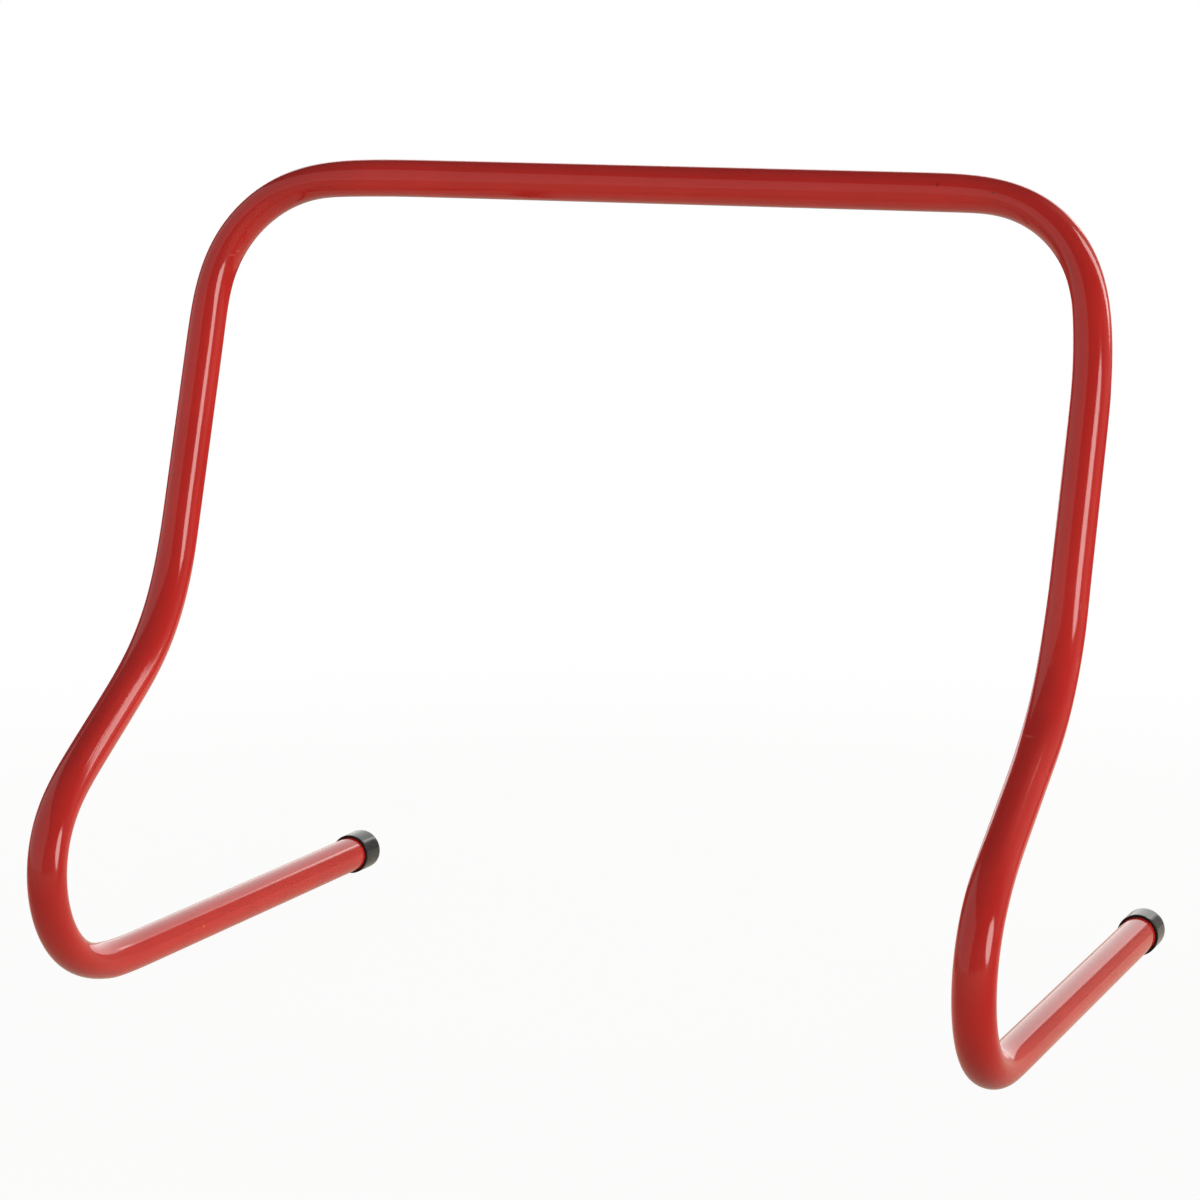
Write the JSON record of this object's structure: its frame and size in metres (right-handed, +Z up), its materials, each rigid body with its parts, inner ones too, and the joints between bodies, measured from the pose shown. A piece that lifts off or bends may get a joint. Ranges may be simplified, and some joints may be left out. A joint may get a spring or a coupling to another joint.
{
  "type": "speed hurdle",
  "caption": "Low free-standing training hurdle bent from one red plastic tube: a crossbar on leaning uprights with bent-back floor feet closed by black push-on end caps.",
  "frame": {"origin": "middle of the footprint, on the floor that the hurdle stands on", "axes": "+X along the crossbar, +Y from the front bends back to the end caps, +Z up"},
  "size_m": [0.55, 0.3852, 0.457],
  "materials": {
    "red_tube": "smooth glossy red PVC",
    "black_cap": "satin black soft vinyl"
  },
  "bodies": {
    "tube": {"hurdle_tube": "red_tube"},
    "left_cap": {"left_end_cap": "black_cap"},
    "right_cap": {"right_end_cap": "black_cap"}
  },
  "joints": [
    {"name": "left_cap_pull", "type": "slide", "parent": "tube", "child": "left_cap", "axis": [0.0182, 0.9998, 0.0052], "range_m": [0, 0.02]},
    {"name": "right_cap_pull", "type": "slide", "parent": "tube", "child": "right_cap", "axis": [-0.0182, 0.9998, 0.0052], "range_m": [0, 0.02]}
  ]
}
